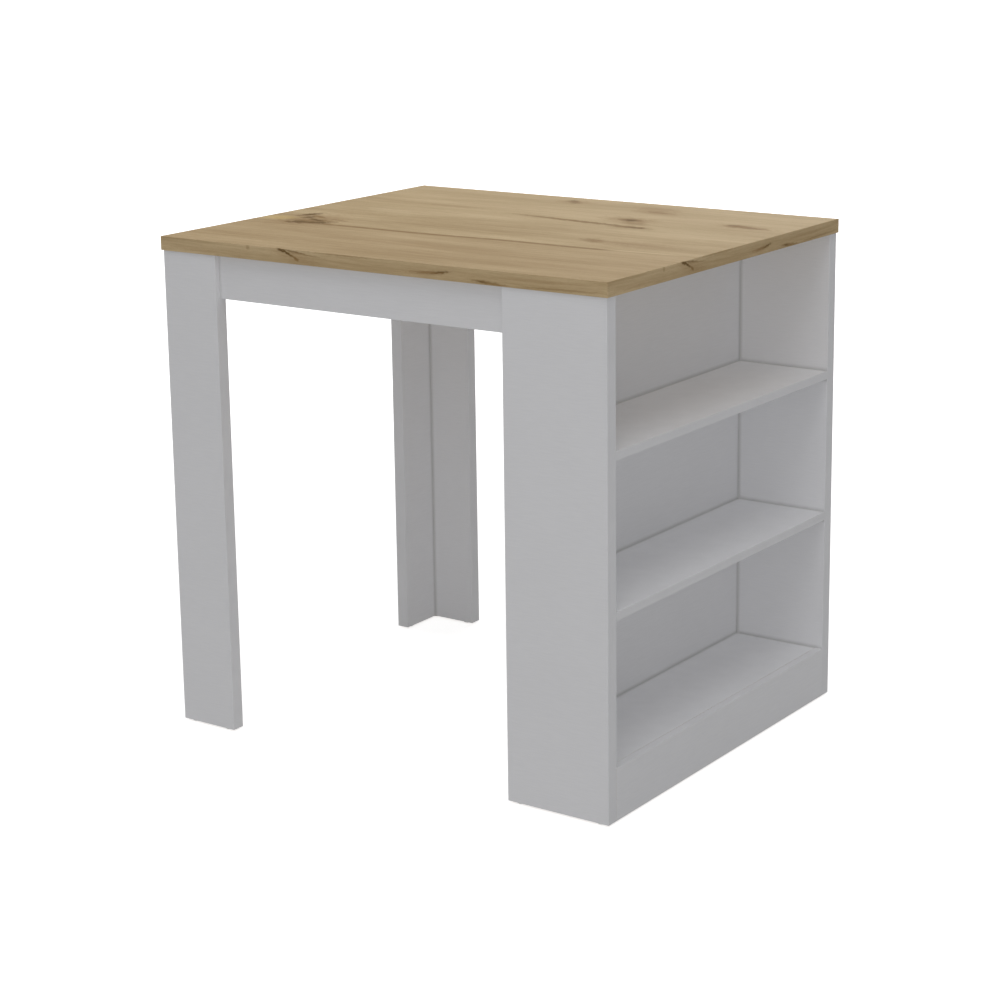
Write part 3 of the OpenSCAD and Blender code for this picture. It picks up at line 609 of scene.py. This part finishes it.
class ISLAND_OT_dress_tabletop_bands(bpy.types.Operator):
    """Gives the tabletop's edge bands their oak decor"""
    bl_idname = "island.dress_tabletop_bands"
    bl_label = "Dress the tabletop's edge bands"

    def execute(self, context):
        look = context.scene.island_oak
        finish = Finish("oak_decor_band")
        low, high = (np.array(corner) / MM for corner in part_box("tabletop"))
        # Along runs round the tabletop to the right on every side, and the shorter ends are
        # stretched so that they carry the same marks
        on_end = abs(finish.x).fade(high[0] - 0.05, high[0] + 0.05)
        front_way = finish.x * finish.y.math("SIGN") * -1
        end_way = finish.y * finish.x.math("SIGN") * float(high[0] / high[1])
        along = front_way * (1 - on_end) + end_way * on_end
        up = finish.z - low[2]
        swirls = (((-170, 17), (34, 9), -0.5), ((128, 11), (34, 5), -0.4))
        wood = oak_grain(finish, along, up * 1.6, 3.0, swirls, look)
        k, d, r = look.knot, look.streak, look.red
        marks = (
            ((-170, 16), (56, 9), -10, 0.35, r), ((-190, 21.8), (11, 2.6), -14, 0.95, k),
            ((-176, 17.6), (13, 2.3), -24, 0.95, k), ((-164, 13.2), (9, 1.8), -26, 0.7, d),
            ((-157, 9.4), (7, 3.2), -24, 0.85, d), ((-164, 21.6), (26, 1.7), -4, 0.6, k),
            ((-140, 18), (40, 1.6), -4, 0.5, d), ((-265, 20.4), (4, 5), -20, 0.4, d),
            ((124, 10.6), (36, 2.6), 3, 0.75, d), ((146, 12.6), (20, 2.2), 9, 0.75, k),
            ((112, 9), (40, 5), 2, 0.35, r), ((241, 4), (32, 2.8), -3, 0.75, d),
            ((228, 4.6), (12, 1.8), -3, 0.6, k), ((385, 5), (70, 2.0), 1, 0.45, d),
            ((-60, 23.4), (80, 1.8), 0, 0.4, d), ((330, 15), (90, 3), 1, 0.25, r),
            ((-380, 8), (70, 3.5), -1, 0.22, r),
        )
        wood = marks_on(finish, wood, along, up, marks, (9, 1.6))
        finish.set("Base Color", wood)
        finish.set("Specular IOR Level", look.gloss)
        dress(finish, "tabletop_edge_bands")
        return {"FINISHED"}


class ISLAND_OT_dress_boards(bpy.types.Operator):
    """Gives each white board its melamine faces and its bare chipboard"""
    bl_idname = "island.dress_boards"
    bl_label = "Dress the boards"

    def execute(self, context):
        look = context.scene.island_boards
        boxes = {name: [np.array(corner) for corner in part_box(name)] for name in WHITE_BOARDS}
        for name, box in boxes.items():
            finish = Finish("melamine_" + name)
            cloud = finish.grains(120, 3.0)
            lines = finish.noise(finish.x / 30, finish.y / 30, finish.z / 1.8)
            white = finish.blend((cloud * 0.35 + lines * 0.65).fade(0.3, 0.7),
                                 dimmed(look.white, 0.965), tuple(look.white))
            # Painted shade: the white darkens towards each inner corner where another board
            # stands on this one, and flush joints get a thin dark line
            for other, other_box in boxes.items():
                if other != name:
                    shade = self.shade(finish, look.corner_shade_w / MM, box, other_box)
                    white = white if shade is None else finish.blend(
                        shade, white, tuple(look.joint), "DARKEN")
            finish.set("Base Color", finish.blend(
                bare_core(finish, name), white, chipboard(finish, look.core)))
            pebble = finish.grains(0.9, 2.0, 0.6)
            finish.set("Roughness", cloud * 0.08 + pebble * 0.06 + (look.roughness - 0.07))
            finish.set("Specular IOR Level", look.gloss)
            finish.bump(pebble, 0.012)
            dress(finish, name)
        return {"FINISHED"}

    def shade(self, finish, width, board, other):
        """1 in the inner corner where another board stands on a face of this one, and 0 at
        the width away from it: a mask of painted shade, which darkens the corner where shade
        falls. Boards whose faces are flush get a hairline for their joint, and boards that
        don't touch get none. A board that stands on one face alone gets the painted shade on
        that face alone."""
        hairline = 0.5
        (low, high), (other_low, other_high) = board, other
        if (other_low > high + MM).any() or (other_high < low - MM).any():
            return None
        thin = int(np.argmin(high - low))
        above = other_high[thin] > high[thin] + MM
        below = other_low[thin] < low[thin] - MM
        gap = finish.gap_to(other_low, other_high)
        if not above and not below:
            return gap.fade(hairline, 0.0)
        near = gap.fade(width, 0.0)
        if above and below:
            return near
        side = (finish.x, finish.y, finish.z)[thin] - float(low[thin] + high[thin]) / 2 / MM
        return near * (side.fade(-1, 1) if above else side.fade(1, -1))


class ISLAND_OT_dress_bands(bpy.types.Operator):
    """Gives the white edge bands their finish"""
    bl_idname = "island.dress_bands"
    bl_label = "Dress the white edge bands"

    def execute(self, context):
        look = context.scene.island_boards
        finish = Finish("melamine_edge_band")
        grain = finish.grains(1.2, 2.0, 0.6)
        cloud = finish.grains(60)
        finish.set("Base Color", finish.blend(
            cloud.fade(0.3, 0.7), dimmed(look.band, 0.97), tuple(look.band)))
        finish.set("Roughness", grain * 0.08 + (look.roughness - 0.1))
        finish.set("Specular IOR Level", look.gloss)
        finish.bump(grain, 0.01)
        dress(finish, *WHITE_BANDS)
        return {"FINISHED"}


class ISLAND_OT_turn_dowels(bpy.types.Operator):
    """Makes the fluted beech dowels"""
    bl_idname = "island.turn_dowels"
    bl_label = "Turn the dowels"

    def execute(self, context):
        look = context.scene.island_fixings
        dowel = solids("wooden_dowels")[0]
        across, _, l = sorted(dowel.max(0) - dowel.min(0))
        r, chamfer, around = across / 2, look.dowel_chamfer / MM, 4 * look.dowel_flutes
        angle = np.linspace(0, 2 * np.pi, around, endpoint=False)
        # A cosine wave round the dowel, from 0 on its ridges to the full depth between them
        flute = look.flute_depth / MM * (0.5 - 0.5 * np.cos(look.dowel_flutes * angle))
        radius, height = stack(around, outline(
            (0, -l), (r - 0.6 * chamfer, -l), (r, chamfer - l), (r, -0.66 * l), (r, -0.33 * l),
            (r, -chamfer), (r - 0.6 * chamfer, 0), (0, 0)))
        radius = np.where(radius > 0, radius - flute, 0)
        finish = Finish("fluted_beech")
        x, y, z = finish.own_place()
        fibre = finish.noise(x * 2.5, y * 2.5, z / 9, 3.0, 0.6)
        fleck = finish.noise(x * 3, y * 3, z / 1.3, 1.0).fade(0.62, 0.7)
        wood = finish.blend(fibre.fade(0.3, 0.7), srgb(196, 162, 114), tuple(look.beech))
        finish.set("Base Color", finish.blend(fleck * 0.5, wood, srgb(158, 118, 76)))
        finish.set("Roughness", fibre * 0.2 + 0.6)
        finish.bump(fibre, 0.08)
        turn_pieces("fluted_dowels", radius, height, "wooden_dowels", finish.material)
        return {"FINISHED"}


def plated_steel(name, look):
    """Zinc-plated steel: cool grey with faint clouds in the plating."""
    finish = Finish(name)
    x, y, z = finish.own_place()
    cloud = finish.noise(x / 4, y / 4, z / 6, 3.0, 0.6)
    grain = finish.noise(x * 3, y * 3, z * 1.5)
    finish.set("Base Color", finish.blend(cloud.fade(0.3, 0.7), srgb(160, 164, 174),
                                          tuple(look.steel)))
    finish.set("Metallic", 1.0)
    finish.set("Roughness", cloud * 0.18 + grain * 0.1 + 0.2)
    finish.bump(grain, 0.012)
    return finish.material


class ISLAND_OT_cut_bolts(bpy.types.Operator):
    """Makes the threaded cam bolts and the board screws"""
    bl_idname = "island.cut_bolts"
    bl_label = "Cut the bolts and screws"

    def execute(self, context):
        look = context.scene.island_fixings
        steel = plated_steel("plated_screws", look)
        # Radius and height of each ring in millimetres, from the tip up to the wide end at 0
        around = 20
        radius, height = stack(
            around,
            outline((0, -36.5), (1.5, -36.5), (1.95, -35.9)),
            thread(2.5, 1.9, look.bolt_pitch / MM, -35.6, -26.2, 0.9, around),
            outline((1.95, -25.9), (1.95, -25.5), (3.5, -25.5), (3.7, -25.3), (3.7, -24.7),
                    (3.5, -24.5), (3, -24.5), (3, -7.4), (2.6, -7), (1.8, -6.6), (1.8, -3.5),
                    (2.6, -3), (2.9, -2.7), (3, -2.4), (3, -0.5), (2.6, 0), (1.3, 0),
                    (0.9, -0.9), (0, -1.2)))
        turn_pieces("threaded_cam_bolts", radius, height, "cam_bolts", steel)
        around = 36
        socket_over_corners, socket_edge = 4.6, 0.15
        socket = socket_over_corners * math.cos(math.pi / 6)
        for node, name, board in (("leg_screws", "threaded_leg_screws", 25),
                                  ("shelf_screws", "threaded_shelf_screws", 15)):
            screw = solids(node)[0]
            l = (screw.max(0) - screw.min(0)).max()
            radius, height = stack(
                around,
                outline((0, -l), (0.9, -l), (2.0, 1.8 - l), (2.2, 3.2 - l)),
                thread(3.2, 2.2, look.screw_pitch / MM, 3.4 - l, -board - 2, 2.0, around),
                outline((3.2, -board - 1.4), (3.2, -3.8), (4.85, -1.3), (5, -1.1), (5, -0.25),
                        (4.8, 0), (2.9, 0)),
                hexagon(socket, around, 0),
                hexagon(socket - socket_edge, around, -socket_edge),
                hexagon(socket - socket_edge, around, -2.2), outline((0, -2.7)))
            turn_pieces(name, radius, height, node, steel)
        return {"FINISHED"}


class ISLAND_OT_mould_caps(bpy.types.Operator):
    """Makes the domed cover caps of the cams and the screws"""
    bl_idname = "island.mould_caps"
    bl_label = "Mould the cover caps"

    def execute(self, context):
        look = context.scene.island_fixings
        finish = Finish("cap_plastic")
        x, y, z = finish.own_place()
        grain = finish.noise(x * 4, y * 4, z)
        finish.set("Base Color", finish.blend(grain.fade(0.35, 0.65), srgb(222, 222, 223),
                                              tuple(look.cap)))
        finish.set("Roughness", grain * 0.15 + 0.33)
        finish.bump(grain, 0.01)
        dome = look.cap_dome / MM
        for node, name, r, peg_r, peg_l in (
                ("cam_cover_caps", "domed_cam_caps", 8.5, 0.8, 1.2),
                ("screw_cover_caps", "domed_screw_caps", 6.5, 1.7, 1.8)):
            # The face falls from its middle with the square of the distance from it
            face = [((r - 0.7) * out, -dome * out ** 2) for out in np.linspace(1, 0.25, 6)]
            radius, height = stack(48, outline(
                (0, -0.8 - peg_l), (0.6 * peg_r, -0.8 - peg_l), (peg_r, -0.5 - peg_l),
                (peg_r, -0.8), (r - 0.1, -0.8), (r, -0.7), (r - 0.08, -dome - 0.25),
                (r - 0.3, -dome - 0.08), *face, (0, 0)))
            turn_pieces(name, radius, height, node, finish.material)
        return {"FINISHED"}


class ISLAND_OT_bend_brackets(bpy.types.Operator):
    """Makes the bent angle brackets"""
    bl_idname = "island.bend_brackets"
    bl_label = "Bend the brackets"

    # Thickness of the plate and width of the bevel on its edges, in millimetres
    wall_t, edge_w = 2, 0.3

    def execute(self, context):
        look = context.scene.island_fixings
        bend = look.bracket_bend / MM
        plate, quads = self.flat_plate(bend, look.bracket_corner / MM)
        # The strip within the bend's radius of the middle line becomes a quarter circle
        s, v = plate.T
        angle = np.pi / 4 * (1 + np.clip(s / bend, -1, 1))
        first = bend - bend * np.cos(angle) + np.maximum(s - bend, 0)
        second = bend - bend * np.sin(angle) + np.maximum(-s - bend, 0)
        places, axes = self.corners()
        piece = add_piece("bent_angle_brackets", np.stack([first, second, v], -1), [quads],
                          places, axes, "angle_brackets",
                          plated_steel("plated_brackets", look))
        wall = piece.modifiers.new("wall", "SOLIDIFY")
        wall.thickness, wall.offset, wall.use_even_offset = self.wall_t * MM, -1, True
        edge = piece.modifiers.new("edge", "BEVEL")
        edge.width, edge.segments, edge.limit_method = self.edge_w * MM, 2, "ANGLE"
        edge.angle_limit = math.radians(40)
        return {"FINISHED"}

    def flat_plate(self, bend, corner):
        """The plate before it is bent, as points (along, across) with the bend at 0.

        A grid of lines along and across leaves a square open round each hole. Points on the
        square move along their ray to the hole's edge in four steps, which fills it. The
        width shrinks on a quarter circle over the last millimetres of both ends.
        """
        arm_l, half_w, hole_at, hole_r, square = 25, 8, 15, 1.95, 7
        ticks = np.linspace(-square, square, 9)
        end = arm_l - corner * (1 - np.sin(np.linspace(0, np.pi / 2, 5)))[1:]
        arm = np.concatenate([np.linspace(0, bend, 6), [(bend + hole_at - square) / 2],
                              hole_at + ticks, end])
        width = np.concatenate([[-half_w], ticks, [half_w]])
        grid_s, grid_v = np.meshgrid(np.concatenate([-arm[:0:-1], arm]), width, indexing="ij")
        number = np.arange(grid_s.size).reshape(grid_s.shape)
        quads = np.stack([number[:-1, :-1], number[1:, :-1],
                          number[1:, 1:], number[:-1, 1:]], -1)
        mid_s = (grid_s[:-1, :-1] + grid_s[1:, 1:]) / 2
        mid_v = (grid_v[:-1, :-1] + grid_v[1:, 1:]) / 2
        plain = (abs(abs(mid_s) - hole_at) > square) | (abs(mid_v) > square)
        points, faces = [np.stack([grid_s.ravel(), grid_v.ravel()], -1)], [quads[plain]]
        t, side = ticks[:-1], 0 * ticks[:-1] + square
        rim = np.concatenate([np.stack(pair, -1) for pair in
                              ((t, -side), (side, t), (-t, side), (-side, -t))])
        step = np.array([0, 0.4, 0.7, 0.9, 1])[:, None, None]
        patch = rim * (1 - step) + step * hole_r * rim / np.linalg.norm(rim, axis=1)[:, None]
        here = np.arange(len(rim))
        beside = (here + 1) % len(rim)
        row = len(rim) * np.arange(len(step) - 1)[:, None]
        ring = np.stack([row + here, row + beside, row + len(rim) + beside,
                         row + len(rim) + here], -1).reshape(-1, 4)
        count = grid_s.size
        for sign in (-1, 1):
            points.append(patch.reshape(-1, 2) + [sign * hole_at, 0])
            faces.append(ring + count)
            count += patch.size // 2
        plate, place = np.unique(np.concatenate(points).round(6), axis=0, return_inverse=True)
        past = np.clip(abs(plate[:, 0]) - (arm_l - corner), 0, corner)
        plate[:, 1] *= 1 - (corner - np.sqrt(corner ** 2 - past ** 2)) / half_w
        return plate, place.ravel()[np.concatenate(faces)]

    def corners(self):
        """The outer corner of each bracket at the middle of its width, and its axes as rows:
        along both arms and across them, right-handed."""
        places, axes = [], []
        for points in solids("angle_brackets"):
            low, high = points.min(0), points.max(0)
            place = (low + high) / 2
            sign = np.sign(place - points.mean(0))
            across = int(np.argmin(high - low))
            arms = [(across + 1) % 3, (across + 2) % 3]
            for arm in arms:
                place[arm] = low[arm] if sign[arm] > 0 else high[arm]
            first, second = (sign[arm] * np.eye(3)[arm] for arm in arms)
            places.append(place)
            axes.append([first, second, np.cross(first, second)])
        return np.array(places), np.array(axes)


class ISLAND_OT_dress_fixings(bpy.types.Operator):
    """Gives the cams, the bracket screws and the glides their finish"""
    bl_idname = "island.dress_fixings"
    bl_label = "Dress the cams, bracket screws and glides"

    def execute(self, context):
        look = context.scene.island_fixings
        zinc = Finish("die_cast_zinc")
        cast = zinc.grains(1.5, 3.0, 0.6)
        zinc.set("Base Color", zinc.blend(cast.fade(0.3, 0.7), srgb(158, 160, 166),
                                          tuple(look.zinc)))
        zinc.set("Metallic", 1.0)
        zinc.set("Roughness", cast * 0.2 + 0.35)
        zinc.bump(cast, 0.04)
        dress(zinc, "cam_locks", "leg_cam_locks")
        steel = Finish("screw_steel")
        fine = steel.grains(0.5)
        steel.set("Base Color", steel.blend(fine.fade(0.35, 0.65), srgb(160, 164, 174),
                                            tuple(look.steel)))
        steel.set("Metallic", 1.0)
        steel.set("Roughness", fine * 0.2 + 0.22)
        steel.bump(fine, 0.01)
        dress(steel, "bracket_screws")
        nylon = Finish("nylon")
        scuff = nylon.grains(2, 4.0, 0.6)
        nylon.set("Base Color", nylon.blend(scuff.fade(0.3, 0.7), srgb(196, 196, 190),
                                            tuple(look.glide)))
        nylon.set("Roughness", scuff * 0.25 + 0.35)
        nylon.bump(scuff, 0.05)
        dress(nylon, "glides")
        return {"FINISHED"}


class ISLAND_OT_build_studio(bpy.types.Operator):
    """Adds the pale floor, the soft lights and the camera"""
    bl_idname = "island.build_studio"
    bl_label = "Build the studio"

    def execute(self, context):
        look = context.scene.island_studio
        self.floor(look)
        self.world(look)
        self.lamp("left_light", look.left_power, 180, 20)
        self.lamp("rear_light", look.rear_power, 105, 20)
        self.lamp("front_light", look.front_power, -68, 20)
        self.lamp("top_light", look.top_power, -60, 65)
        self.lamp("level_fill", look.level_fill, -45, 5, shadow=False)
        self.lamp("top_fill", look.top_fill, 0, 90, shadow=False)
        self.camera()
        context.scene.view_settings.view_transform = "Standard"
        return {"FINISHED"}

    def floor(self, look):
        """A wide floor that looks white, with the object's shadow on it.

        To the camera it glows in part near the island, where a shadow may fall, and fully
        further away.
        """
        glow_from, glow_full, half_w, down = 1200, 3000, 40, -0.5 * MM
        finish = Finish("studio_floor")
        away = (finish.x * finish.x + finish.y * finish.y) ** 0.5
        away = away.fade(glow_from, glow_full)
        glow = finish.seen() * (away * (1 - look.floor_glow) + look.floor_glow)
        finish.set("Base Color", tuple(look.floor))
        finish.set("Roughness", 1.0)
        finish.set("Specular IOR Level", 0.0)
        finish.set("Emission Color", finish.blend(glow, (0, 0, 0), (1, 1, 1)))
        finish.set("Emission Strength", 1.0)
        mesh = bpy.data.meshes.new("floor")
        mesh.from_pydata([(half_w * x, half_w * y, down) for x, y in
                          ((-1, -1), (1, -1), (1, 1), (-1, 1))], [], [(0, 1, 2, 3)])
        mesh.materials.append(finish.material)
        floor = bpy.data.objects.new("floor", mesh)
        bpy.context.scene.collection.objects.link(floor)

    def world(self, look):
        """An even sky that looks white to the camera and in reflections."""
        world = bpy.data.worlds.new("studio")
        world.use_nodes = True
        sky = Tree(world.node_tree, "Background")
        sky.set("Color", (1, 1, 1))
        sky.set("Strength", sky.seen() * (1 - look.sky) + look.sky)
        bpy.context.scene.world = world

    def lamp(self, name, energy, turn, height, shadow=True):
        """Adds a round soft light that faces the middle of the island.

        Turn is its direction in degrees from +X towards +Y, and height the degrees above
        level. A fill light casts no shadow: it lifts what the other lamps leave dark.
        """
        turn, height = math.radians(turn), math.radians(height)
        away = Vector((math.cos(turn) * math.cos(height), math.sin(turn) * math.cos(height),
                       math.sin(height)))
        data = bpy.data.lights.new(name, "AREA")
        data.shape = "DISK"
        data.size = LAMP_WIDTH
        data.energy = energy
        data.use_shadow = shadow
        lamp = bpy.data.objects.new(name, data)
        lamp.location = MIDDLE + LAMP_DISTANCE * away
        lamp.rotation_euler = away.to_track_quat("Z", "Y").to_euler()
        bpy.context.scene.collection.objects.link(lamp)

    def camera(self):
        """The photograph's view: turned about +Z, tipped up, then rolled on its own axis."""
        place = (2.4168, -3.4404, 1.5340)
        turns = ((35.2325, "Z"), (76.826, "X"), (-0.79, "Z"))
        data = bpy.data.cameras.new("camera")
        data.lens = 85.497
        data.sensor_width = 36
        data.shift_y = -0.08
        data.clip_start, data.clip_end = 0.1, 200
        camera = bpy.data.objects.new("camera", data)
        turn, tip, roll = (Matrix.Rotation(math.radians(degrees), 4, axis)
                           for degrees, axis in turns)
        camera.matrix_world = Matrix.Translation(place) @ turn @ tip @ roll
        bpy.context.scene.collection.objects.link(camera)
        bpy.context.scene.camera = camera


class ISLAND_PT_panel(bpy.types.Panel):
    """Lists the steps that dress the kitchen island"""
    bl_idname = "ISLAND_PT_panel"
    bl_label = "Kitchen Island"
    bl_space_type = "VIEW_3D"
    bl_region_type = "UI"
    bl_category = "Island"

    def draw(self, context):
        for step in STEPS:
            self.layout.operator(step.bl_idname)


SETTINGS = {"island_oak": OakSettings, "island_boards": BoardSettings,
            "island_fixings": FixingSettings, "island_studio": StudioSettings}
STEPS = (ISLAND_OT_dress_tabletop, ISLAND_OT_dress_tabletop_bands, ISLAND_OT_dress_boards,
         ISLAND_OT_dress_bands, ISLAND_OT_turn_dowels, ISLAND_OT_cut_bolts,
         ISLAND_OT_mould_caps, ISLAND_OT_bend_brackets, ISLAND_OT_dress_fixings,
         ISLAND_OT_build_studio)


def register():
    for kind in (*SETTINGS.values(), *STEPS, ISLAND_PT_panel):
        bpy.utils.register_class(kind)
    for name, kind in SETTINGS.items():
        setattr(bpy.types.Scene, name, PointerProperty(type=kind))


def unregister():
    for name in SETTINGS:
        delattr(bpy.types.Scene, name)
    for kind in (ISLAND_PT_panel, *reversed(STEPS), *reversed(SETTINGS.values())):
        bpy.utils.unregister_class(kind)


def main():
    register()
    bpy.ops.island.dress_tabletop()
    bpy.ops.island.dress_tabletop_bands()
    bpy.ops.island.dress_boards()
    bpy.ops.island.dress_bands()
    bpy.ops.island.turn_dowels()
    bpy.ops.island.cut_bolts()
    bpy.ops.island.mould_caps()
    bpy.ops.island.bend_brackets()
    bpy.ops.island.dress_fixings()
    bpy.ops.island.build_studio()


if __name__ == "__main__":
    main()
